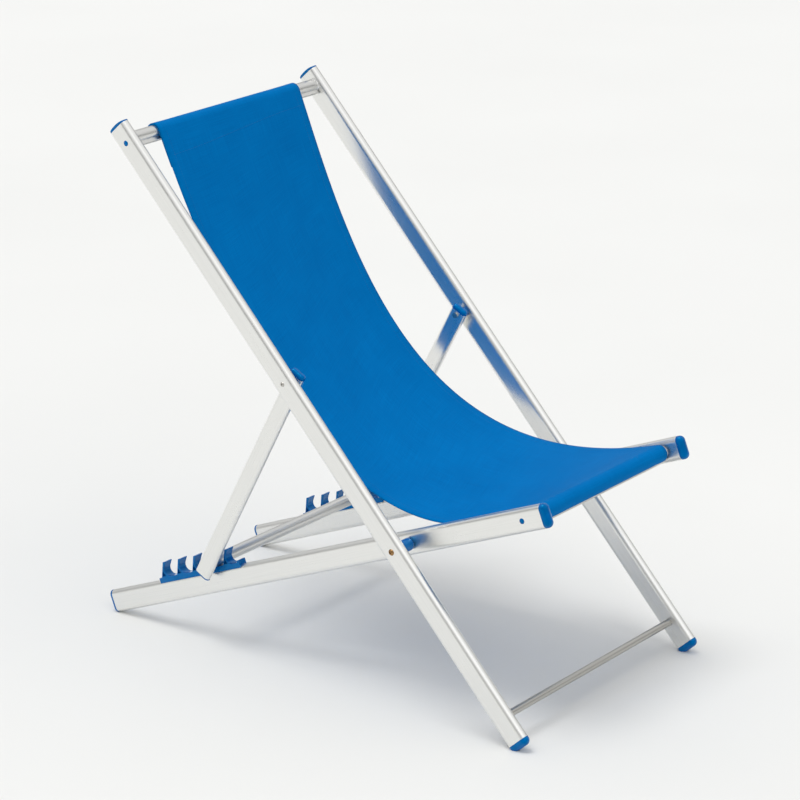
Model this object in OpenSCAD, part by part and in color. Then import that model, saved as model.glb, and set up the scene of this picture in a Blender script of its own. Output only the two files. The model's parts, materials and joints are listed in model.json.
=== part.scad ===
// Folding beach deckchair: aluminium flat-oval rails, a fabric sling and a propped, ratcheted back.
// Millimetres. +Z is up, the chair faces -Y, +X is the sitter's left. The floor is z = 0.
// Three frames fold about two axes: the back frame, the seat frame and the prop frame.

/* [Overall] */
// Width over the outer faces of the back rails
overall_w = 570; // [520:1:620]
// Height of the main pivot above the floor
pivot_h = 310.5; // [290:0.5:330]
// Main pivot's distance in front of the middle of the footprint
pivot_forward = 215; // [180:0.5:260]
// Lean of the back rails from vertical, degrees
back_lean = 42.7; // [30:0.1:50]
// Slope of the seat rails from horizontal, degrees
seat_slope = 22; // [15:0.1:30]

/* [Rails] */
// Depth of the flat-oval rails, in the side view
rail_w = 45; // [38:0.5:50]
// Thickness of the flat-oval rails, across the chair
rail_t = 20; // [16:0.5:22]
// Wall thickness of every tube
wall = 1.6; // [1.2:0.1:2]
// Back rail length above the main pivot
back_up = 920.5; // [800:1:1000]
// Back rail length below the main pivot
back_down = 400; // [350:1:450]
// Seat rail length behind the main pivot
seat_rear = 772; // [700:1:850]
// Seat rail length in front of the main pivot
seat_front = 302; // [260:1:340]
// Gap between a back rail and a seat rail, where the prop leg folds
leg_space = 36; // [30:0.5:42]

/* [Cross bars] */
// Diameter of the top bar and the front bar
bar_d = 25; // [22:0.5:30]
// Top bar's distance above the main pivot, along the back rail
top_bar_up = 893; // [780:1:960]
// Front bar's distance in front of the main pivot, along the seat rail
front_bar_out = 265; // [230:1:300]
// Diameter of the foot bar
foot_bar_d = 14; // [12:0.5:20]
// Foot bar's distance below the main pivot, along the back rail
foot_bar_down = 350; // [300:1:380]

/* [Prop] */
// Prop pivot's distance above the main pivot, along the back rail
prop_up = 359; // [320:1:400]
// Depth of the flat-oval prop legs
leg_w = 34; // [28:0.5:38]
// Thickness of the prop legs
leg_t = 15; // [12:0.5:18]
// Prop leg length above its pivot
leg_above = 8.5; // [8:0.5:14]
// Prop leg length below the prop bar's axis
leg_below = 25.5; // [22:0.5:32]
// Diameter of the prop bar that sits in the notches
prop_bar_d = 23; // [20:0.5:25]

/* [Ratchet] */
// Number of notches on each block
notches = 5; // [3:1:6]
// Notch that holds the bar, counted from the rear
notch_used = 4; // [1:1:5]
// Distance from notch to notch
notch_pitch = 41.5; // [38:0.5:46]
// Used notch's distance behind the main pivot, along the seat rail
notch_back = 479; // [460:1:500]
// Height of the teeth above the rail
tooth_h = 34; // [30:0.5:38]
// Lean of the teeth, degrees
tooth_lean = 27; // [20:1:32]
// Width of a block across the rail
ratchet_w = 19; // [14:0.5:20]

/* [Sling] */
// Width of the sling
sling_w = 408; // [380:1:412]
// Thickness of the sling
sling_t = 1.8; // [1.4:0.1:2.4]
// Thickness of the hem wrapped round the bars
hem_t = 3.4; // [2:0.1:4]
// Sling's lean from vertical where it leaves the top bar, degrees
sling_top_lean = 20.3; // [15:0.1:25]
// Sling's slope where it meets the front bar, degrees
sling_front_slope = 24.1; // [15:0.1:30]
// Stiffness length of the sling's curve below the top bar
sling_top_pull = 257; // [200:1:320]
// Stiffness length of the sling's curve behind the front bar
sling_front_pull = 570; // [500:1:640]

/* [Plastic caps] */
// Thickness of the arched caps on the back rails' tops, at their ends
top_cap_rim_t = 2.5; // [2:0.5:5]
// Rise of their arch
top_cap_rise = 3; // [2:0.5:5]
// Thickness of the flat caps on the seat rails' rear ends
rear_cap_t = 4; // [3:0.5:6]
// Thickness of the rim under each domed cap
cap_rim_t = 3.5; // [2:0.5:5]
// Depth that each cap's plug reaches into its tube
plug_l = 18; // [12:1:25]

/* [Hidden] */
$fn = 96;
eps = 0.01;
gap = 0.3;                                  // side clearance between pieces that turn past each other
fit = 0.05;                                 // radial clearance of pins, plugs and bars in their holes
x_back = overall_w / 2 - rail_t / 2;        // middle of the left back rail
x_back_in = overall_w / 2 - rail_t;         // its inner face
x_seat_out = x_back_in - leg_space;         // outer face of the left seat rail
x_seat = x_seat_out - rail_t / 2;
x_seat_in = x_seat_out - rail_t;
x_leg = (x_back_in + x_seat_out) / 2;       // middle of the left prop leg
pivot_y = -pivot_forward;
pivot_d = 8;
prop_pin_d = 6;
screw_d = 5;
screw_head_d = 8.5;
button_d = 10.5;
top_screw_drop = 6.5;                       // top bar's screws sit this far below its axis
front_screw_in = 5.5;                       // front bar's screws sit this far behind its axis
// Keder channel: the groove under the top and front bars that holds the fabric's welt rod
channel_w = 8;
channel_out = bar_d / 2 + 5.5;
welt_d = 4.4;
slot_w = 2.2;
// Prop pivot and the bar's seat in the notch, as [y, z]
prop_y = pivot_y + prop_up * sin(back_lean);
prop_z = pivot_h + prop_up * cos(back_lean);
notch_floor = 5.2;                          // height of the resting bar above the rail
notch_gap = 0.4;                            // room round the bar in its notch
notch_v = rail_w / 2 + notch_floor + prop_bar_d / 2;
bar_y = pivot_y + notch_back * cos(seat_slope) + notch_v * sin(seat_slope);
bar_z = pivot_h - notch_back * sin(seat_slope) + notch_v * cos(seat_slope);
prop_lean = atan2(bar_y - prop_y, prop_z - bar_z);
leg_l = norm([bar_y - prop_y, prop_z - bar_z]);
hem_r = bar_d / 2 + gap + hem_t;            // outer radius of the hem round a bar
block_front = 18;                           // length of the blocks in front of their first notch
block_rear = 30.5;                          // and behind their last one
recess_depth = 4;                           // depth of the recesses in the teeth's sides
exit_lean = 40;                             // lean of the bar's way out of a notch, from the rail's normal

// ---------- frames ----------

// Back frame: local Z runs up the back rails, local Y points to the rear, origin on the main pivot.
module back_space() {
  translate([0, pivot_y, pivot_h]) rotate([-back_lean, 0, 0]) children();
}

// Seat frame: local Y runs to the rear along the seat rails, local Z points away from the floor.
module seat_space() {
  translate([0, pivot_y, pivot_h]) rotate([-seat_slope, 0, 0]) children();
}

// Prop frame: local Z runs up the prop legs, origin on the prop pivot.
module prop_space() {
  translate([0, prop_y, prop_z]) rotate([prop_lean, 0, 0]) children();
}

// Parts are drawn for the sitter's left (+X) and mirrored for the right.
module on_side(side) {
  if (side > 0) children();
  else mirror([1, 0, 0]) children();
}

module both_sides() {
  for (side = [1, -1]) on_side(side) children();
}

// ---------- shared shapes ----------

// Round rod along X from x0 to x1.
module x_rod(x0, x1, d) {
  translate([x0, 0, 0]) rotate([0, 90, 0]) cylinder(h = x1 - x0, d = d);
}

// Flat-oval outline: w along Y, t along X.
module oval(w, t) {
  square([t, w - t], center = true);
  for (s = [1, -1]) translate([0, s * (w - t) / 2]) circle(d = t);
}

// Flat-oval tube along Z from z0 to z1.
module oval_tube(w, t, z0, z1) {
  translate([0, 0, z0]) difference() {
    linear_extrude(z1 - z0) oval(w, t);
    translate([0, 0, -1]) linear_extrude(z1 - z0 + 2) oval(w - 2 * wall, t - 2 * wall);
  }
}

// Plug that closes a flat-oval tube: it reaches down from z = 0.
module oval_plug(w, t, l = plug_l) {
  inner_w = w - 2 * (wall + fit);
  inner_t = t - 2 * (wall + fit);
  translate([0, 0, -l]) difference() {
    linear_extrude(l + eps) oval(inner_w, inner_t);
    translate([0, 0, -1]) linear_extrude(l - 2) oval(inner_w - 4, inner_t - 4);
  }
}

// Flat cap on the end of a flat-oval tube, with its plug.
module flat_cap(w, t, h, l = plug_l) {
  linear_extrude(h) oval(w, t);
  oval_plug(w, t, l);
}

// Cap whose top is arched along the tube's depth.
module arched_cap(w, t, rim, rise) {
  arch_r = (w * w / 4 + rise * rise) / (2 * rise);
  intersection() {
    linear_extrude(rim + rise + 1) oval(w, t);
    translate([-t, 0, rim + rise - arch_r]) rotate([0, 90, 0]) cylinder(h = 2 * t, r = arch_r);
  }
  oval_plug(w, t);
}

// Rounded cap: a rim, then a long dome with round ends.
module domed_cap(w, t, rim, l = plug_l) {
  linear_extrude(rim) oval(w, t);
  intersection() {
    translate([0, 0, rim]) {
      rotate([90, 0, 0]) cylinder(h = w - t, d = t, center = true);
      for (s = [1, -1]) translate([0, s * (w - t) / 2, 0]) sphere(d = t);
    }
    translate([-t, -w, 0]) cube([2 * t, 2 * w, rim + t]);
  }
  oval_plug(w, t, l);
}

// Cross bar outline with its keder channel pointing along -Y of the sketch.
module keder_bar_outline() {
  difference() {
    union() {
      circle(d = bar_d);
      translate([-channel_w / 2, -channel_out]) square([channel_w, channel_out - bar_d / 2 + 2]);
    }
    circle(d = bar_d - 2 * wall);
    translate([0, -channel_out + welt_d / 2 + 1.1]) circle(d = welt_d + 0.6);
    translate([-slot_w / 2, -channel_out - 1]) square([slot_w, 3]);
  }
}

// Cross bar along X between -x and x, with the channel towards -Z.
module keder_bar(x) {
  rotate([90, 0, 90]) linear_extrude(2 * x, center = true) keder_bar_outline();
}

// Welt rod inside the channel of a keder bar.
module welt_rod() {
  translate([0, 0, -channel_out + welt_d / 2 + 1.1]) x_rod(-sling_w / 2, sling_w / 2, welt_d);
}

// End plug of a keder bar: a bright flange against the rail and a spigot with the screw's hole at [y, z].
module end_plug(x_face, hole) {
  difference() {
    union() {
      x_rod(x_face - 3, x_face, bar_d + 1.5);
      x_rod(x_face - 25, x_face - 3 + eps, bar_d - 2 * wall - 2 * fit);
    }
    translate([0, hole.x, hole.y]) x_rod(x_face - 26, x_face + 1, screw_d + 2 * fit);
  }
}

// Screw whose head sits inside a rail, against its inner wall.
module bar_screw(x_face) {
  x_rod(x_face - 20, x_face + wall + eps, screw_d);
  difference() {
    x_rod(x_face + wall, x_face + wall + 4, screw_head_d);
    translate([x_face + wall + 1.5, 0, 0]) rotate([0, 90, 0]) cylinder(h = 4, d = 4, $fn = 6);
  }
}

// Low dome of diameter d and height h, standing on x_face.
module low_dome(x_face, d, h) {
  ball = (d * d / 4 + h * h) / (2 * h);
  translate([x_face, 0, 0]) rotate([0, 90, 0]) rotate_extrude() intersection() {
    translate([0, h - ball]) circle(r = ball);
    square([d, h + 1]);
  }
}

// Domed button that closes a screw's access hole in a rail's outer face.
module cover_button(x_face) {
  x_rod(x_face - wall - 2, x_face + eps, screw_head_d + 0.5 - 2 * fit);
  low_dome(x_face, button_d, 1.6);
}

// Domed head on a rail's outer face, with a hexagon recess.
module domed_head(x_face, d, h, recess) {
  difference() {
    low_dome(x_face, d, h);
    translate([x_face + h - 1.8, 0, 0]) rotate([0, 90, 0]) cylinder(h = 4, d = recess, $fn = 6);
  }
}

// Hole through the inner wall only, then through the outer wall only, of the rail centred on x.
module inner_wall_hole(x, d) {
  x_rod(x - rail_t / 2 - 1, x, d);
}

module outer_wall_hole(x, d) {
  x_rod(x, x + rail_t / 2 + 1, d);
}

// ---------- back frame ----------

module back_rail(side) {
  color("silver") back_space() on_side(side) difference() {
    translate([x_back, 0, 0]) oval_tube(rail_w, rail_t, -back_down, back_up);
    x_rod(x_back_in - 1, overall_w / 2 + 1, pivot_d + 2 * fit);
    translate([0, 0, prop_up]) x_rod(x_back_in - 1, overall_w / 2 + 1, prop_pin_d + 2 * fit);
    translate([0, 0, top_bar_up - top_screw_drop]) {
      inner_wall_hole(x_back, screw_d + 2 * fit);
      outer_wall_hole(x_back, screw_head_d + 0.5);
    }
    translate([0, 0, -foot_bar_down]) inner_wall_hole(x_back, foot_bar_d + 2 * fit);
  }
}

module back_rail_left() { back_rail(1); }

module back_rail_right() { back_rail(-1); }

module top_bar() {
  color("silver") back_space() translate([0, 0, top_bar_up]) keder_bar(x_back_in - 3);
}

module top_bar_end_plugs() {
  color("gainsboro") back_space() translate([0, 0, top_bar_up])
    both_sides() end_plug(x_back_in, [0, -top_screw_drop]);
}

module top_bar_screws() {
  color("gray") back_space() translate([0, 0, top_bar_up - top_screw_drop])
    both_sides() bar_screw(x_back_in);
}

module top_cover_buttons() {
  color("royalblue") back_space() translate([0, 0, top_bar_up - top_screw_drop])
    both_sides() cover_button(overall_w / 2);
}

module foot_bar() {
  color("silver") back_space() translate([0, 0, -foot_bar_down]) difference() {
    x_rod(-x_back, x_back, foot_bar_d);
    x_rod(-x_back - 1, x_back + 1, foot_bar_d - 2 * wall);
  }
}

module top_cap(side) {
  color("royalblue") back_space() on_side(side)
    translate([x_back, 0, back_up]) arched_cap(rail_w, rail_t, top_cap_rim_t, top_cap_rise);
}

module top_cap_left() { top_cap(1); }

module top_cap_right() { top_cap(-1); }

// Domed foot, cut flat where it stands on the floor.
module foot_cap(side) {
  color("royalblue") difference() {
    back_space() on_side(side)
      translate([x_back, 0, -back_down]) mirror([0, 0, 1]) domed_cap(rail_w, rail_t, cap_rim_t);
    floor_block();
  }
}

module foot_cap_left() { foot_cap(1); }

module foot_cap_right() { foot_cap(-1); }

module floor_block() {
  translate([-500, -900, -100]) cube([1000, 1800, 100]);
}

module pivot_bolts() {
  color("darkgray") back_space() both_sides() {
    domed_head(overall_w / 2, 12, 3.4, 5);
    x_rod(x_seat_in - 9.5, overall_w / 2 + eps, pivot_d);
  }
}

module pivot_washers() {
  color("gray") back_space() both_sides() difference() {
    x_rod(x_seat_in - gap - 1.2, x_seat_in - gap, 17);
    x_rod(x_seat_in - 5, x_seat_in + 1, pivot_d + 2 * fit);
  }
}

// Nut on the inner end of each main pivot bolt; thread not modelled.
module pivot_nuts() {
  color("darkgray") back_space() both_sides() difference() {
    translate([x_seat_in - gap - 1.2 - 6.5, 0, 0]) rotate([0, 90, 0]) cylinder(h = 6.5, d = 14.6, $fn = 6);
    x_rod(x_seat_in - 12, x_seat_in + 1, pivot_d + 2 * fit);
  }
}

// Rod along X with rounded ends.
module barrel(x0, x1, d, round_r) {
  l = x1 - x0;
  translate([x0, 0, 0]) rotate([0, 90, 0]) rotate_extrude() intersection() {
    square([d / 2, l]);
    union() {
      square([d / 2 - round_r, l]);
      translate([0, round_r]) square([d / 2, l - 2 * round_r]);
      for (z = [round_r, l - round_r]) translate([d / 2 - round_r, z]) circle(r = round_r);
    }
  }
}

module pivot_spacer(side) {
  color("royalblue") back_space() on_side(side) difference() {
    barrel(x_seat_out + gap, x_back_in, 24, 7);
    x_rod(x_seat_out - 1, x_back_in + 1, pivot_d + 2 * fit);
  }
}

module pivot_spacer_left() { pivot_spacer(1); }

module pivot_spacer_right() { pivot_spacer(-1); }

module prop_rivets() {
  leg_in = x_leg - leg_t / 2;
  color("darkgray") back_space() translate([0, 0, prop_up]) both_sides() {
    domed_head(overall_w / 2, 9, 2.4, 3);
    x_rod(leg_in - gap - 1, overall_w / 2 + eps, prop_pin_d);
    x_rod(leg_in - gap - 2.2, leg_in - gap, 11);
  }
}

module prop_spacers() {
  color("royalblue") back_space() translate([0, 0, prop_up]) both_sides() difference() {
    x_rod(x_leg + leg_t / 2 + gap, x_back_in, 18);
    x_rod(x_leg, x_back_in + 1, prop_pin_d + 2 * fit);
  }
}

// ---------- seat frame ----------

module seat_rail(side) {
  color("silver") seat_space() on_side(side) difference() {
    translate([x_seat, 0, 0]) rotate([-90, 0, 0]) oval_tube(rail_w, rail_t, -seat_front, seat_rear);
    x_rod(x_seat_in - 1, x_seat_out + 1, pivot_d + 2 * fit);
    translate([0, front_screw_in - front_bar_out, 0]) {
      inner_wall_hole(x_seat, screw_d + 2 * fit);
      outer_wall_hole(x_seat, screw_head_d + 0.5);
    }
    ratchet_pegs(6 + 2 * fit);
  }
}

module seat_rail_left() { seat_rail(1); }

module seat_rail_right() { seat_rail(-1); }

module front_bar() {
  color("silver") seat_space() translate([0, -front_bar_out, 0]) keder_bar(x_seat_in - 3);
}

module front_bar_end_plugs() {
  color("gainsboro") seat_space() translate([0, -front_bar_out, 0])
    both_sides() end_plug(x_seat_in, [front_screw_in, 0]);
}

module front_bar_screws() {
  color("gray") seat_space() translate([0, front_screw_in - front_bar_out, 0])
    both_sides() bar_screw(x_seat_in);
}

module front_cover_buttons() {
  color("royalblue") seat_space() translate([0, front_screw_in - front_bar_out, 0])
    both_sides() cover_button(x_seat_out);
}

module front_cap(side) {
  color("royalblue") seat_space() on_side(side)
    translate([x_seat, -seat_front, 0]) rotate([90, 0, 0]) domed_cap(rail_w, rail_t, cap_rim_t);
}

module front_cap_left() { front_cap(1); }

module front_cap_right() { front_cap(-1); }

// Flat rear cap, cut where it stands on the floor.
module rear_cap(side) {
  color("royalblue") difference() {
    seat_space() on_side(side)
      translate([x_seat, seat_rear, 0]) rotate([-90, 0, 0]) flat_cap(rail_w, rail_t, rear_cap_t);
    floor_block();
  }
}

module rear_cap_left() { rear_cap(1); }

module rear_cap_right() { rear_cap(-1); }

// Notch centre n's distance behind the pivot.
function notch_y(n) = notch_back - (n - notch_used) * notch_pitch;

// Side outline of one leaning tooth behind notch n: sketch X is the distance behind the pivot.
module tooth_outline(n) {
  top = rail_w / 2 + tooth_h;
  low = rail_w / 2;
  back = notch_y(n) + 8.5;
  polygon([
    [back, top],
    [back - 6, top],
    [back - 6 - prop_bar_d / 2, notch_v],
    [back - 4, low],
    [back + (top - low) * tan(tooth_lean), low]
  ]);
}

// Recess in the sides of the tooth behind notch n.
module tooth_recess(n) {
  translate([notch_y(n), notch_v]) difference() {
    polygon([[9.5, -10], [20.5, -10], [16, -0.5], [13, -0.5]]);
    circle(r = prop_bar_d / 2 + notch_gap + 2.4);
  }
}

// Room for the bar in notch n and for its way out, forwards and up.
module notch_outline(n) {
  r = prop_bar_d / 2 + notch_gap;
  translate([notch_y(n), notch_v]) {
    circle(r = r);
    rotate(exit_lean) translate([-r, 0]) square([2 * r, 3 * tooth_h]);
  }
}

module ratchet_outline() {
  base_top = rail_w / 2 + notch_floor - notch_gap;
  rear = notch_y(1) + block_rear;
  front = notch_y(notches) - block_front;
  difference() {
    union() {
      for (n = [1:notches]) tooth_outline(n);
      translate([front, rail_w / 2 - 5.5]) square([rear - front, base_top - rail_w / 2 + 5.5]);
      translate([front, base_top - eps]) square([5, 4]);
    }
    for (n = [1:notches]) notch_outline(n);
  }
}

// Three pegs that fix each block in the rail's top wall.
module ratchet_pegs(d) {
  for (n = [1, 3, notches])
    translate([x_seat, notch_y(n) + 18, rail_w / 2 - wall - 3]) cylinder(h = 8, d = d);
}

module ratchet(side) {
  color("royalblue") seat_space() on_side(side) {
    difference() {
      translate([x_seat - ratchet_w / 2, 0, 0]) rotate([90, 0, 90])
        linear_extrude(ratchet_w) ratchet_outline();
      for (n = [1:notches], x = [-ratchet_w / 2 - 1, ratchet_w / 2 - recess_depth])
        translate([x_seat + x, 0, 0]) rotate([90, 0, 90]) linear_extrude(recess_depth + 1) tooth_recess(n);
      translate([x_seat, 0, 0]) rotate([-90, 0, 0]) linear_extrude(seat_rear) oval(rail_w, rail_t);
    }
    ratchet_pegs(6);
  }
}

module ratchet_left() { ratchet(1); }

module ratchet_right() { ratchet(-1); }

// ---------- prop frame ----------

module prop_leg(side) {
  color("silver") prop_space() on_side(side) difference() {
    translate([x_leg, 0, 0]) oval_tube(leg_w, leg_t, -leg_l - leg_below, leg_above);
    x_rod(x_leg - leg_t, x_leg + leg_t, prop_pin_d + 2 * fit);
    translate([0, 0, -leg_l]) x_rod(x_leg - leg_t, x_leg, prop_bar_d + 2 * fit);
  }
}

module prop_leg_left() { prop_leg(1); }

module prop_leg_right() { prop_leg(-1); }

module prop_bar() {
  x_end = x_leg + leg_t / 2 - wall - 2;
  color("silver") prop_space() translate([0, 0, -leg_l]) difference() {
    x_rod(-x_end, x_end, prop_bar_d);
    x_rod(-x_end - 1, x_end + 1, prop_bar_d - 2 * wall);
  }
}

// Cap over the pivot end of a leg; its plug stops short of the rivet.
module leg_top_cap(side) {
  color("royalblue") prop_space() on_side(side)
    translate([x_leg, 0, leg_above]) domed_cap(leg_w, leg_t, 2, 5);
}

module leg_top_cap_left() { leg_top_cap(1); }

module leg_top_cap_right() { leg_top_cap(-1); }

module leg_end_cap(side) {
  color("royalblue") prop_space() on_side(side)
    translate([x_leg, 0, -leg_l - leg_below]) mirror([0, 0, 1]) flat_cap(leg_w, leg_t, 2.5, 12);
}

module leg_end_cap_left() { leg_end_cap(1); }

module leg_end_cap_right() { leg_end_cap(-1); }

// ---------- sling ----------

// Bar centres as [y, z] in the chair's frame.
top_centre = [pivot_y + top_bar_up * sin(back_lean), pivot_h + top_bar_up * cos(back_lean)];
front_centre = [pivot_y - front_bar_out * cos(seat_slope), pivot_h + front_bar_out * sin(seat_slope)];
// Directions of travel at the two ends, from the top bar to the front bar.
top_way = [-sin(sling_top_lean), -cos(sling_top_lean)];
front_way = [-cos(sling_front_slope), sin(sling_front_slope)];

// Normal on the sitter's side of a direction of travel.
function upper_normal(d) = [d[1], -d[0]];

wrap_r = hem_r - sling_t / 2 - 0.1;            // the span sinks a little into the hems
curve_ends = [
  top_centre + wrap_r * upper_normal(top_way),
  front_centre + wrap_r * upper_normal(front_way)
];
curve = [
  curve_ends[0],
  curve_ends[0] + sling_top_pull * top_way,
  curve_ends[1] - sling_front_pull * front_way,
  curve_ends[1]
];

function bezier(p, t) =
  pow(1 - t, 3) * p[0] + 3 * t * pow(1 - t, 2) * p[1] + 3 * t * t * (1 - t) * p[2] + pow(t, 3) * p[3];

function bezier_way(p, t) =
  let (d = pow(1 - t, 2) * (p[1] - p[0]) + 2 * t * (1 - t) * (p[2] - p[1]) + t * t * (p[3] - p[2]))
  d / norm(d);

// Points of the sling's span, offset from its middle line.
function span_points(offset, steps = 56) =
  [for (i = [0:steps]) bezier(curve, i / steps) + offset * upper_normal(bezier_way(curve, i / steps))];

function reversed(list) = [for (i = [len(list) - 1:-1:0]) list[i]];

// Hem wrapped round a bar, open where the keder channel points.
module hem_outline(centre, channel_angle) {
  translate(centre) difference() {
    circle(r = hem_r);
    circle(r = bar_d / 2 + gap);
    rotate(channel_angle) translate([0, -channel_w / 2 - gap]) square([2 * hem_r, channel_w + 2 * gap]);
  }
}

module sling_outline() {
  polygon(concat(span_points(sling_t / 2), reversed(span_points(-sling_t / 2))));
  hem_outline(top_centre, -90 - back_lean);
  hem_outline(front_centre, -90 - seat_slope);
}

module sling() {
  color("deepskyblue") rotate([90, 0, 90])
    linear_extrude(sling_w, center = true) sling_outline();
}

module top_welt_rod() {
  color("deepskyblue") back_space() translate([0, 0, top_bar_up]) welt_rod();
}

module front_welt_rod() {
  color("deepskyblue") seat_space() translate([0, -front_bar_out, 0]) welt_rod();
}

// ---------- nodes ----------

back_rail_left();
back_rail_right();
top_bar();
top_bar_end_plugs();
top_bar_screws();
top_cover_buttons();
foot_bar();
top_cap_left();
top_cap_right();
foot_cap_left();
foot_cap_right();
pivot_bolts();
pivot_washers();
pivot_nuts();
pivot_spacer_left();
pivot_spacer_right();
prop_rivets();
prop_spacers();
seat_rail_left();
seat_rail_right();
front_bar();
front_bar_end_plugs();
front_bar_screws();
front_cover_buttons();
front_cap_left();
front_cap_right();
rear_cap_left();
rear_cap_right();
ratchet_left();
ratchet_right();
prop_leg_left();
prop_leg_right();
prop_bar();
leg_top_cap_left();
leg_top_cap_right();
leg_end_cap_left();
leg_end_cap_right();
sling();
top_welt_rod();
front_welt_rod();
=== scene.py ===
"""Looks of the folding deckchair: sling, aluminium, moulded plastic, floor, light and camera."""
import json
import math

import bpy
import numpy as np
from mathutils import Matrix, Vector


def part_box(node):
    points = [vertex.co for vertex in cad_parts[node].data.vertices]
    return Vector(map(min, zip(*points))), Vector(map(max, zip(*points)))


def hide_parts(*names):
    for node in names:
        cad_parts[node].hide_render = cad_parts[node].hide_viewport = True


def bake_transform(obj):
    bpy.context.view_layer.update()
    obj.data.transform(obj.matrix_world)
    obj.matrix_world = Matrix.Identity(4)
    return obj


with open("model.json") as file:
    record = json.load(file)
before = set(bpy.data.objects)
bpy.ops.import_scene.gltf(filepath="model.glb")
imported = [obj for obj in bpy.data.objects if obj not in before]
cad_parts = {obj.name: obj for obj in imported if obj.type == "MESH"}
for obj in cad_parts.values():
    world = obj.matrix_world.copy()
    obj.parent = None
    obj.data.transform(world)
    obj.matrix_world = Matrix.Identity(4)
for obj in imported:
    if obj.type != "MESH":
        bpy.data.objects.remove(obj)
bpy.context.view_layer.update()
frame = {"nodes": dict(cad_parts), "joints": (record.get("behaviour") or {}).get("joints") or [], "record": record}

# ---------- places taken from the frame ----------

PIVOT, PROP_PIVOT = (Vector(joint["pos_m"]) for joint in frame["joints"])


def middle(node):
    """Centre of a CAD node's box, in metres."""
    low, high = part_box(node)
    return (low + high) / 2


TOP_BAR = middle("top_bar_end_plugs")        # axis of the top bar
FRONT_BAR = middle("front_bar_end_plugs")    # axis of the front bar
PROP_BAR = middle("prop_bar")                # axis of the prop bar
# Leans in radians: the back rails and the prop legs from vertical, the seat rails from horizontal.
BACK_LEAN = math.atan2(TOP_BAR.y - PIVOT.y, TOP_BAR.z - PIVOT.z)
SEAT_SLOPE = math.atan2(FRONT_BAR.z - PIVOT.z, PIVOT.y - FRONT_BAR.y)
PROP_LEAN = math.atan2(PROP_BAR.y - PROP_PIVOT.y, PROP_PIVOT.z - PROP_BAR.z)

# ---------- dimensions of the fabric, in metres ----------

SLING_W = 0.408          # width of the sling
SLING_T = 0.0014         # thickness of one layer
HEM_R = 0.0153           # middle of the outer layer where it goes round a bar
LINING_IN = 0.0016       # depth of the inner layer below the outer one, round the bars
GROOVE_HALF = 0.34       # half angle of the bars' grooves, in radians
BAR_EASE = 0.02          # angle kept between the sling's wrap round a bar and its span, in radians
SEAM_AT = 0.034          # distance of the cross seams from where the sling leaves a bar
SIDE_HEM = 0.018         # width of the folded side hems
HEM_SWELL = 0.0003       # how much each face of the side hems stands out
SEAM_W = 0.002           # width of the line pressed in beside a side hem
SEAM_IN = 0.00015        # and its depth
MIDDLE_SAG = 0.005       # how much lower the middle hangs than the edges
GATHER_UP = 0.0006       # height of the faint gathers below the top bar
GATHER_WAVES = 4.5       # number of them across the sling
GATHER_TO = 0.14         # share of the span where they fade out
THREAD = 0.0022          # wavelength of the weave

# ---------- numbers of points ----------

ACROSS = 49              # points across the sling
SPAN_STEPS = 140         # points along its span
WRAP_STEPS = 34          # points round each bar
HEM_COLUMN = 2           # column of points, from each side edge, where the hem stitches run
LINING_PAST = 3          # rows of points by which a lining passes its seam

# Shape of the sling's two side edges: lean where each leaves the top bar and slope where it meets the front
# bar, in degrees, and how far each direction is held, in metres. The sitter's right edge hangs lower.
LEFT_EDGE = {"top_lean": 22.4, "top_pull": 0.274, "front_slope": 18.7, "front_pull": 0.595}
RIGHT_EDGE = {"top_lean": 23.4, "top_pull": 0.474, "front_slope": 33.5, "front_pull": 0.400}

# ---------- small helpers ----------


def smooth(t):
    """Smooth step for t from 0 to 1."""
    return t * t * (3 - 2 * t)


def new_mesh(name, points, faces, smooth_shaded=True):
    """Mesh object from points and faces, linked to the scene."""
    mesh = bpy.data.meshes.new(name)
    mesh.from_pydata([tuple(p) for p in points], [], faces)
    mesh.validate()
    obj = bpy.data.objects.new(name, mesh)
    bpy.context.scene.collection.objects.link(obj)
    if smooth_shaded:
        mesh.polygons.foreach_set("use_smooth", [True] * len(mesh.polygons))
    return obj


def paint(obj, material):
    """Gives obj one material."""
    obj.data.materials.clear()
    obj.data.materials.append(material)


# ---------- material building blocks ----------


def set_stops(ramp, stops):
    """Sets a colour ramp node's stops, each (position, colour)."""
    elements = ramp.color_ramp.elements
    while len(elements) < len(stops):
        elements.new(0.5)
    for element, (position, colour) in zip(elements, stops):
        element.position = position
        element.color = (*colour, 1)


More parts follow.
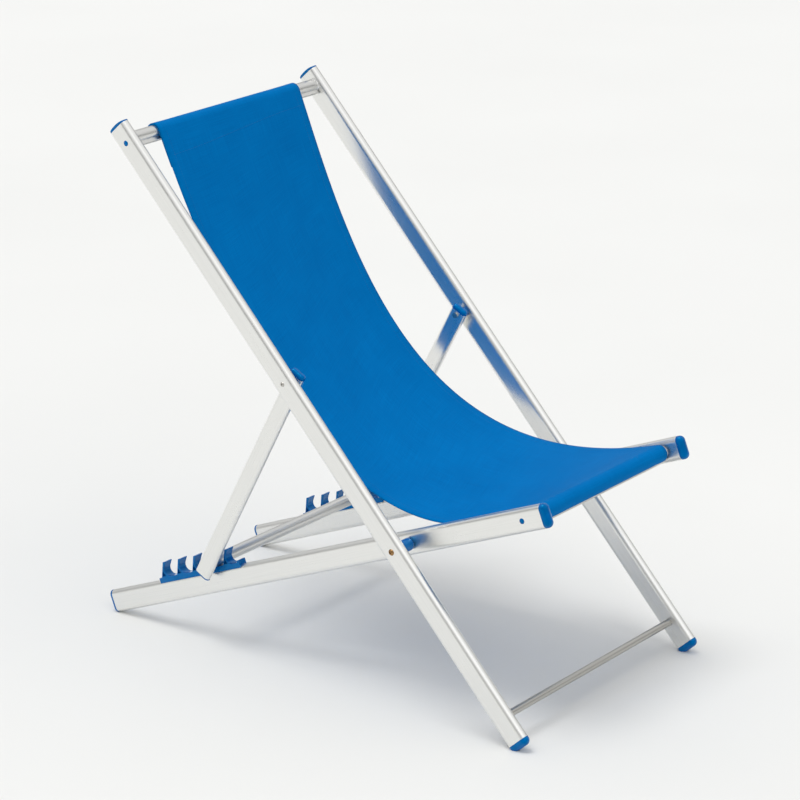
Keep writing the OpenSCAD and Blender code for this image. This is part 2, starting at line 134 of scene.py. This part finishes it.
class Nodes:
    """Short names for making a material's nodes and links."""

    def __init__(self, name):
        self.material = bpy.data.materials.new(name)
        self.material.use_nodes = True
        self.tree = self.material.node_tree
        self.shader = self.tree.nodes["Principled BSDF"]

    def add(self, kind, **settings):
        """A node of that kind; settings that name an input set its value, the others are attributes."""
        node = self.tree.nodes.new(kind)
        for key, value in settings.items():
            if key in node.inputs:
                node.inputs[key].default_value = value
            else:
                setattr(node, key, value)
        return node

    def link(self, out, into):
        """Joins two sockets."""
        self.tree.links.new(out, into)

    def value(self, name, value):
        """A constant on the shader's own socket."""
        self.shader.inputs[name].default_value = value

    def math(self, operation, a, b=None):
        """Result socket of a Math node; a and b are sockets or numbers."""
        node = self.add("ShaderNodeMath", operation=operation)
        for i, x in enumerate((a, b)):
            if x is None:
                continue
            if isinstance(x, (int, float)):
                node.inputs[i].default_value = x
            else:
                self.link(x, node.inputs[i])
        return node.outputs[0]

    def ramp(self, fac, stops):
        """Colour ramp over fac; stops are (position, colour)."""
        node = self.add("ShaderNodeValToRGB")
        self.link(fac, node.inputs["Fac"])
        set_stops(node, stops)
        return node.outputs["Color"]

    def noise(self, vector, scale, detail=3.0, roughness=0.5):
        """Noise value over a vector."""
        node = self.add("ShaderNodeTexNoise", Scale=scale, Detail=detail, Roughness=roughness)
        self.link(vector, node.inputs["Vector"])
        return node.outputs["Fac"]

    def mixed(self, a, share_a, b, share_b):
        """Sum of two sockets, each times its share."""
        return self.math("ADD", self.math("MULTIPLY", a, share_a), self.math("MULTIPLY", b, share_b))

    def varied(self, base, noise, amount):
        """Base, a socket or a number, plus or minus half of amount as the noise goes."""
        return self.math("ADD", self.math("MULTIPLY", self.math("SUBTRACT", noise, 0.5), amount), base)

    def stretched(self, vector, scale, lean=0.0):
        """Vector turned back by a lean about X, in radians, then scaled by scale on each axis."""
        node = self.add("ShaderNodeMapping", vector_type="TEXTURE")
        node.inputs["Rotation"].default_value = (lean, 0, 0)
        node.inputs["Scale"].default_value = [1 / s for s in scale]
        self.link(vector, node.inputs["Vector"])
        return node.outputs["Vector"]

    def bump(self, height, strength, distance, normal=None):
        """Bump from a height socket, on top of another normal."""
        node = self.add("ShaderNodeBump", Strength=strength, Distance=distance)
        self.link(height, node.inputs["Height"])
        if normal is not None:
            self.link(normal, node.inputs["Normal"])
        return node.outputs["Normal"]

    def soft_edges(self, radius):
        """Normal that rounds sharp edges by radius."""
        return self.add("ShaderNodeBevel", samples=6, Radius=radius).outputs["Normal"]

    def object_space(self):
        """Position in the object's own space."""
        return self.add("ShaderNodeTexCoord").outputs["Object"]


ALONG_Z = (900, 900, 8)      # how often drawing lines along Z change, per metre on each axis
ALONG_X = (8, 900, 900)      # the same for lines along X


def brushed_aluminium(name, colour, lean=0.0, along=ALONG_Z, roughness=0.30, streak=0.035):
    """Satin anodised aluminium whose fine drawing lines run along the tube.

    lean is the tube's lean about X in radians, which brings the pattern's Z axis along the tube."""
    n = Nodes(name)
    n.value("Metallic", 1.0)
    place = n.object_space()
    lines = n.noise(n.stretched(place, along, lean), 1.0, 3.0, 0.6)
    clouds = n.noise(place, 7.0, 2.0)
    specks = n.noise(place, 420.0, 2.0, 0.7)
    dark = [c * (1 - streak) for c in colour]
    light = [min(1.0, c * (1 + streak * 0.4)) for c in colour]
    n.link(n.ramp(lines, [(0.30, dark), (0.62, light)]), n.shader.inputs["Base Color"])
    rough = n.varied(n.varied(n.varied(roughness, lines, 0.10), clouds, 0.08), specks, 0.06)
    n.link(rough, n.shader.inputs["Roughness"])
    n.link(n.bump(lines, 0.02, 0.0002, n.soft_edges(0.0006)), n.shader.inputs["Normal"])
    return n.material


def plain_metal(name, colour, roughness, scratches=0.08):
    """Turned or pressed metal with faint scratches."""
    n = Nodes(name)
    n.value("Metallic", 1.0)
    place = n.object_space()
    marks = n.noise(place, 900.0, 3.0, 0.7)
    spots = n.noise(place, 160.0, 2.0)
    dark = [c * 0.72 for c in colour]
    n.link(n.ramp(spots, [(0.3, dark), (0.6, colour)]), n.shader.inputs["Base Color"])
    n.link(n.math("ADD", n.math("MULTIPLY", marks, scratches), roughness), n.shader.inputs["Roughness"])
    n.link(n.bump(marks, 0.08, 0.0001, n.soft_edges(0.0003)), n.shader.inputs["Normal"])
    return n.material


def moulded_plastic(name, colour, roughness):
    """Glossy moulded nylon with a fine pebbled skin and a faint cloudiness."""
    n = Nodes(name)
    place = n.object_space()
    grain = n.noise(place, 2600.0, 2.0, 0.6)
    cloud = n.noise(place, 45.0, 2.0)
    deep = [c * 0.80 for c in colour]
    pale = [c * 0.9 + 0.02 for c in colour]
    n.link(n.ramp(cloud, [(0.3, deep), (0.55, colour), (0.8, pale)]), n.shader.inputs["Base Color"])
    n.link(n.varied(roughness, grain, 0.16), n.shader.inputs["Roughness"])
    n.value("Specular IOR Level", 0.9)
    n.value("Specular Tint", (0.0, 0.62, 1.0, 1))
    n.link(n.bump(grain, 0.12, 0.00012, n.soft_edges(0.0007)), n.shader.inputs["Normal"])
    return n.material


def woven_fabric(name, colour, deep, pale):
    """Coated polyester canvas: a plain weave laid out along the sheet's own UV map in metres."""
    n = Nodes(name)
    uv = n.add("ShaderNodeUVMap", uv_map="weave").outputs["UV"]
    split = n.add("ShaderNodeSeparateXYZ")
    n.link(uv, split.inputs[0])
    across, along = (
        n.math("SINE", n.math("MULTIPLY", split.outputs[axis], math.tau / THREAD)) for axis in "XY"
    )
    weave = n.math("MULTIPLY", across, along)
    threads = n.math("ADD", n.math("ABSOLUTE", across), n.math("ABSOLUTE", along))
    slub_along = n.noise(n.stretched(uv, (900, 12, 1)), 1.0, 2.0, 0.6)
    slub_across = n.noise(n.stretched(uv, (12, 900, 1)), 1.0, 2.0, 0.6)
    slubs = n.mixed(slub_along, 0.5, slub_across, 0.5)
    tone = n.mixed(slubs, 0.75, n.noise(uv, 9.0, 3.0), 0.25)
    tone = n.math("ADD", tone, n.math("MULTIPLY", weave, 0.035))
    n.link(n.ramp(tone, [(0.36, deep), (0.5, colour), (0.66, pale)]), n.shader.inputs["Base Color"])
    n.value("Roughness", 0.6)
    n.value("Specular IOR Level", 0.02)
    n.value("Specular Tint", (0.0, 0.5, 1.0, 1))
    fine = n.bump(n.mixed(weave, 0.5, threads, 0.35), 0.35, 0.00025)
    n.link(n.bump(slubs, 0.25, 0.0003, fine), n.shader.inputs["Normal"])
    return n.material


def thread_material(name, colour):
    """Sewing thread."""
    n = Nodes(name)
    place = n.object_space()
    twist = n.noise(place, 1800.0, 2.0)
    n.link(n.ramp(twist, [(0.3, [c * 0.6 for c in colour]), (0.7, colour)]), n.shader.inputs["Base Color"])
    n.value("Roughness", 0.7)
    n.link(n.bump(twist, 0.3, 0.0001), n.shader.inputs["Normal"])
    return n.material


# ---------- the sling's path ----------


def upper_side(way):
    """Normal on the sitter's side of a direction of travel in (y, z)."""
    return np.stack([way[..., 1], -way[..., 0]], -1)


def edge_curve(edge):
    """Side edge between the two bars: a Bezier curve's (y, z) points and its directions."""
    lean, slope = math.radians(edge["top_lean"]), math.radians(edge["front_slope"])
    top_way = np.array([-math.sin(lean), -math.cos(lean)])
    front_way = np.array([-math.cos(slope), math.sin(slope)])
    p0 = np.array(TOP_BAR.yz) + HEM_R * upper_side(top_way)
    p3 = np.array(FRONT_BAR.yz) + HEM_R * upper_side(front_way)
    p1 = p0 + edge["top_pull"] * top_way
    p2 = p3 - edge["front_pull"] * front_way
    t = np.linspace(0, 1, SPAN_STEPS)[:, None]
    points = (1 - t) ** 3 * p0 + 3 * t * (1 - t) ** 2 * p1 + 3 * t * t * (1 - t) * p2 + t ** 3 * p3
    way = (1 - t) ** 2 * (p1 - p0) + 2 * t * (1 - t) * (p2 - p1) + t * t * (p3 - p2)
    return points, way / np.linalg.norm(way, axis=1)[:, None]


def wrap(centre, from_angle, to_angle):
    """Points round a bar and their directions, anticlockwise seen with y to the right and z up."""
    angles = np.linspace(from_angle, to_angle, WRAP_STEPS)
    ring = np.stack([np.cos(angles), np.sin(angles)], -1)
    way = np.stack([-np.sin(angles), np.cos(angles)], -1)
    return np.array(centre.yz) + HEM_R * ring, way


def side_angle(way):
    """Angle round a bar, from 0 to a full turn, at which cloth with that direction touches it."""
    normal = upper_side(way)
    return math.atan2(normal[1], normal[0]) % math.tau


def edge_profile(edge):
    """Whole path of one side edge and its directions: from the top groove round the top bar, down the span,
    and round the front bar to its groove."""
    span, span_way = edge_curve(edge)
    top_mouth = -math.pi / 2 - BACK_LEAN + GROOVE_HALF
    front_mouth = 1.5 * math.pi - SEAT_SLOPE + GROOVE_HALF
    top, top_way = wrap(TOP_BAR, top_mouth, side_angle(span_way[0]) - BAR_EASE)
    front, front_way = wrap(FRONT_BAR, side_angle(span_way[-1]) + BAR_EASE, front_mouth)
    return np.vstack([top, span, front]), np.vstack([top_way, span_way, front_way])


def distance_along(path):
    """Distance from the first point to each point of a path."""
    return np.concatenate([[0], np.cumsum(np.linalg.norm(np.diff(path, axis=0), axis=1))])


SPAN = slice(WRAP_STEPS, WRAP_STEPS + SPAN_STEPS)        # rows of the grid between the two bars


def sling_grid():
    """Middle surface of the sling as an [across, along, xyz] grid lofted between its side edges, with its
    normals and its flat (x, length) layout."""
    left, left_way = edge_profile(LEFT_EDGE)
    right, right_way = edge_profile(RIGHT_EDGE)
    count = len(left)
    down = np.ones(count)                                # 0 at the top bar, 1 at the front bar
    down[:SPAN.start] = 0
    down[SPAN] = np.linspace(0, 1, SPAN_STEPS)
    body = np.sin(np.pi * down) ** 1.2                   # 0 at the bars, 1 in the middle of the span
    near_top = np.sin(np.pi * np.clip(down / GATHER_TO, 0, 1))
    length = distance_along((left + right) / 2)
    rows, normals, flat = [], [], []
    for v in np.linspace(0, 1, ACROSS):                  # 0 on the sitter's right, 1 on the left
        mix = smooth(v)
        way = right_way + (left_way - right_way) * mix
        normal = upper_side(way / np.linalg.norm(way, axis=1)[:, None])
        from_middle = abs(2 * v - 1)
        from_hem = min(v, 1 - v) * SLING_W - SIDE_HEM
        sag = -MIDDLE_SAG * body * (1 - from_middle ** 2)
        gather = GATHER_UP * near_top * math.sin(math.tau * GATHER_WAVES * v) * from_middle ** 2
        pressed = -SEAM_IN * body * math.exp(-(from_hem / SEAM_W + 1) ** 2)
        at = right + (left - right) * mix + normal * (sag + gather + pressed)[:, None]
        x = np.full(count, SLING_W * (v - 0.5))
        rows.append(np.column_stack([x, at]))
        normals.append(np.column_stack([np.zeros(count), normal]))
        flat.append(np.column_stack([x, length]))
    return np.array(rows), np.array(normals), np.array(flat)


GRID, NORMALS, FLAT = sling_grid()
LENGTH = FLAT[0, :, 1]                                   # distance along the cloth of each row
FROM_SIDE = np.minimum(np.arange(ACROSS), np.arange(ACROSS)[::-1]) * SLING_W / (ACROSS - 1)
HALF = SLING_T / 2 + np.where(FROM_SIDE < SIDE_HEM, HEM_SWELL, 0.0)[:, None, None]
TOP_SEAM = int(np.searchsorted(LENGTH, LENGTH[SPAN.start] + SEAM_AT))
FRONT_SEAM = int(np.searchsorted(LENGTH, LENGTH[SPAN.stop - 1] - SEAM_AT))

# ---------- the sling's pieces ----------


def closed_sheet(name, upper, lower):
    """Closed sheet between two [across, along, xyz] grids of the same size."""
    across, count = upper.shape[:2]
    under = across * count                               # first point of the lower side
    last = (across - 1) * count                          # first point of the last column
    faces = []
    for j in range(across - 1):
        for i in range(count - 1):
            a, b = j * count + i, (j + 1) * count + i
            faces.append((a, b, b + 1, a + 1))
            faces.append((under + a + 1, under + b + 1, under + b, under + a))
    for i in range(count - 1):
        faces.append((i, i + 1, under + i + 1, under + i))
        faces.append((last + i + 1, last + i, under + last + i, under + last + i + 1))
    for j in range(across - 1):
        a, b = j * count, (j + 1) * count
        faces.append((b, a, under + a, under + b))
        a, b = a + count - 1, b + count - 1
        faces.append((a, b, under + b, under + a))
    return new_mesh(name, np.concatenate([upper.reshape(-1, 3), lower.reshape(-1, 3)]), faces)


def lay_out(obj, flat):
    """UV map in metres for both sides of a closed sheet."""
    layer = obj.data.uv_layers.new(name="weave")
    both_sides = np.concatenate([flat.reshape(-1, 2)] * 2)
    corners = np.zeros(len(obj.data.loops), int)
    obj.data.loops.foreach_get("vertex_index", corners)
    layer.data.foreach_set("uv", both_sides[corners].astype(np.float32).ravel())


def cloth_layer(name, rows, depth=0.0):
    """One layer over some rows of the grid, depth below the sling's middle surface."""
    centre = GRID[:, rows] - NORMALS[:, rows] * depth
    layer = closed_sheet(name, centre + NORMALS[:, rows] * HALF, centre - NORMALS[:, rows] * HALF)
    lay_out(layer, FLAT[:, rows])
    return layer


STITCH_PITCH = 0.0046    # distance from stitch to stitch, in metres
STITCH_L = 0.0030        # length of a stitch
STITCH_R = 0.00032       # radius of its thread
STITCH_SIDES = 6         # sides of its thread
# Height and thickness of the thread at even steps along a stitch, in thread radii.
STITCH_SHAPE = ((-0.6, 0.5), (0.1, 1.0), (0.25, 1.0), (0.1, 1.0), (-0.6, 0.5))


def stitch_row(name, columns, rows):
    """Short stitches pulled into the cloth, along a line of the grid's upper side."""
    path = (GRID + NORMALS * HALF)[columns, rows]
    normals = NORMALS[columns, rows]
    along = distance_along(path)
    ring = range(STITCH_SIDES)
    points, faces = [], []

    def at(distance, values):
        return np.array([np.interp(distance, along, values[:, k]) for k in range(3)])

    for s in np.arange(STITCH_PITCH, along[-1] - STITCH_PITCH, STITCH_PITCH):
        way = at(s + STITCH_L, path) - at(s, path)
        way /= np.linalg.norm(way)
        up = at(s + STITCH_L / 2, normals)
        side = np.cross(way, up)
        base = len(points)
        for step, (lift, thick) in enumerate(STITCH_SHAPE):
            part = step / (len(STITCH_SHAPE) - 1)
            centre = at(s + STITCH_L * part, path) + up * lift * STITCH_R
            for k in ring:
                angle = math.tau * k / STITCH_SIDES
                points.append(centre + thick * STITCH_R * (side * math.cos(angle) + up * math.sin(angle)))
        for start in range(base, len(points) - STITCH_SIDES, STITCH_SIDES):
            for k in ring:
                a, b = start + k, start + (k + 1) % STITCH_SIDES
                faces.append((a, b, b + STITCH_SIDES, a + STITCH_SIDES))
        faces.append(tuple(base + k for k in reversed(ring)))
        faces.append(tuple(len(points) - STITCH_SIDES + k for k in ring))
    return new_mesh(name, points, faces)


def bends_with_fold(obj):
    """Cloth that crosses the main pivot: bakes the object's transform into its mesh; nothing here makes it follow
    the back or seat frame.
    """
    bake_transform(obj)


def make_sling(cloth, thread):
    """The sling, 1.30 m from groove to groove, the linings of its folded-back ends, and its stitches."""
    sling = cloth_layer("sling_fabric", slice(None))
    linings = [
        cloth_layer("sleeve_lining_top", slice(0, TOP_SEAM + LINING_PAST), LINING_IN),
        cloth_layer("sleeve_lining_front", slice(FRONT_SEAM - LINING_PAST, None), LINING_IN),
    ]
    inner = slice(1, -1)
    stitches = [
        stitch_row("seam_stitches_top", inner, TOP_SEAM),
        stitch_row("seam_stitches_front", inner, FRONT_SEAM),
        stitch_row("hem_stitches_right", HEM_COLUMN, SPAN),
        stitch_row("hem_stitches_left", -1 - HEM_COLUMN, SPAN),
    ]
    paint(sling, cloth)
    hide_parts("sling")
    bends_with_fold(sling)
    for piece in linings:
        paint(piece, cloth)
        bends_with_fold(piece)
    for piece in stitches:
        paint(piece, thread)
        bends_with_fold(piece)


# ---------- finishes ----------

RAIL_SILVER = (0.85, 0.85, 0.83)
TUBE_SILVER = (0.72, 0.72, 0.70)
FOOT_BAR_GREY = (0.50, 0.49, 0.46)
BRIGHT_SILVER = (0.9, 0.9, 0.9)
ZINC_GREY = (0.62, 0.60, 0.56)
ZINC_YELLOW = (0.36, 0.21, 0.09)
NYLON_BLUE = (0.0, 0.108, 0.39)
CLOTH_BLUE, CLOTH_DEEP, CLOTH_PALE = (0.0, 0.152, 0.450), (0.0, 0.130, 0.400), (0.0, 0.176, 0.505)


def finish_cad_pieces(cloth):
    """Paints every CAD piece: by its own kind where that is listed, otherwise by its material slot."""
    by_kind = {
        "back_rail": brushed_aluminium("back_rail_aluminium", RAIL_SILVER, -BACK_LEAN),
        "seat_rail": brushed_aluminium("seat_rail_aluminium", RAIL_SILVER, math.pi / 2 - SEAT_SLOPE),
        "prop_leg": brushed_aluminium("prop_leg_aluminium", RAIL_SILVER, PROP_LEAN),
        "foot_bar": brushed_aluminium("foot_bar_aluminium", FOOT_BAR_GREY, along=ALONG_X, streak=0.08),
        "pivot_bolts": plain_metal("yellow_zinc", ZINC_YELLOW, 0.2),
    }
    by_slot = {
        "tube_aluminium": brushed_aluminium(
            "tube_aluminium", TUBE_SILVER, along=ALONG_X, roughness=0.34, streak=0.08,
        ),
        "steel": plain_metal("zinc_steel", ZINC_GREY, 0.26),
        "bright_metal": plain_metal("bright_plug", BRIGHT_SILVER, 0.18),
        "blue_plastic": moulded_plastic("blue_nylon", NYLON_BLUE, 0.17),
        "sling_fabric": cloth,
    }
    slot_of = {part["node"]: part["material_slot"] for part in frame["record"]["subparts"]}
    for node, obj in frame["nodes"].items():
        kind = node.removesuffix("_left").removesuffix("_right")
        paint(obj, by_kind.get(kind) or by_slot[slot_of[node]])


# ---------- floor, backdrop, light, camera ----------


def studio_floor():
    """Pale floor paper with a faint mottle; far away it curves up all round as a low backdrop."""
    n = Nodes("studio_paper")
    cloud = n.noise(n.object_space(), 1.3, 2.0)
    pale = n.ramp(cloud, [(0.2, (0.780, 0.783, 0.770)), (0.8, (0.800, 0.803, 0.790))])
    n.link(pale, n.shader.inputs["Base Color"])
    n.value("Roughness", 0.85)
    n.value("Specular IOR Level", 0.0)
    sides = 64
    rings = [(34, 0), (37, 0.5), (39, 1.8), (40, 4), (40, 6)]      # (radius, height) in metres
    corners = [(math.cos(math.tau * k / sides), math.sin(math.tau * k / sides)) for k in range(sides)]
    points = [(radius * x, radius * y, height) for radius, height in rings for x, y in corners]
    faces = [tuple(range(sides))]
    for start in range(0, (len(rings) - 1) * sides, sides):
        for k in range(sides):
            a, b = start + k, start + (k + 1) % sides
            faces.append((b, a, a + sides, b + sides))
    floor = new_mesh("studio_floor", points, faces, smooth_shaded=False)
    paint(floor, n.material)


def studio_world(levels):
    """Soft surround: levels are (sine of the angle above the horizon, brightness)."""
    world = bpy.data.worlds.new("studio_world")
    world.use_nodes = True
    tree = world.node_tree
    place = tree.nodes.new("ShaderNodeTexCoord")
    split = tree.nodes.new("ShaderNodeSeparateXYZ")
    ramp = tree.nodes.new("ShaderNodeValToRGB")
    tree.links.new(place.outputs["Generated"], split.inputs[0])
    tree.links.new(split.outputs["Z"], ramp.inputs["Fac"])
    tree.links.new(ramp.outputs["Color"], tree.nodes["Background"].inputs["Color"])
    set_stops(ramp, [(height, (level, level, level)) for height, level in levels])
    bpy.context.scene.world = world


def distant_light(name, toward, strength, spread):
    """Large light far away in direction toward; spread is its width in degrees."""
    data = bpy.data.lights.new(name, "SUN")
    data.energy = strength
    data.angle = math.radians(spread)
    light = bpy.data.objects.new(name, data)
    light.rotation_euler = Vector(toward).to_track_quat("Z", "Y").to_euler()
    bpy.context.scene.collection.objects.link(light)


VIEW_AZIMUTH, VIEW_ELEVATION = math.radians(-53.0), math.radians(18.7)
VIEW_DISTANCE = 5.905                                    # metres from what the camera looks at
LOOK_BEHIND_PIVOT, LOOK_HEIGHT = 0.1954, 0.478           # where it looks, in metres
LENS, SENSOR = 143.5, 36                                 # millimetres


def photo_camera():
    """Camera at the product view: the chair seen from its front right, slightly from above."""
    target = Vector((0, PIVOT.y + LOOK_BEHIND_PIVOT, LOOK_HEIGHT))
    level = math.cos(VIEW_ELEVATION)
    back = Vector((
        math.sin(VIEW_AZIMUTH) * level, -math.cos(VIEW_AZIMUTH) * level, math.sin(VIEW_ELEVATION),
    ))
    data = bpy.data.cameras.new("photo_camera")
    data.sensor_width = SENSOR
    data.lens = LENS
    camera = bpy.data.objects.new("photo_camera", data)
    camera.location = target + back * VIEW_DISTANCE
    camera.rotation_euler = (-back).to_track_quat("-Z", "Y").to_euler()
    bpy.context.scene.collection.objects.link(camera)
    bpy.context.scene.camera = camera


# ---------- the scene ----------

canvas = woven_fabric("sling_canvas", CLOTH_BLUE, CLOTH_DEEP, CLOTH_PALE)
make_sling(canvas, thread_material("sewing_thread", CLOTH_BLUE))
finish_cad_pieces(canvas)
studio_floor()
studio_world([(0.0, 0.10), (0.17, 0.12), (0.36, 0.60), (0.60, 0.90)])
distant_light("key_light", (-0.26, 0.17, 1.0), 1.08, 28)
distant_light("fill_light", (-0.35, -1.0, 0.55), 0.27, 60)
photo_camera()
bpy.context.scene.view_settings.view_transform = "Standard"
bpy.context.scene.view_settings.exposure = 0.0
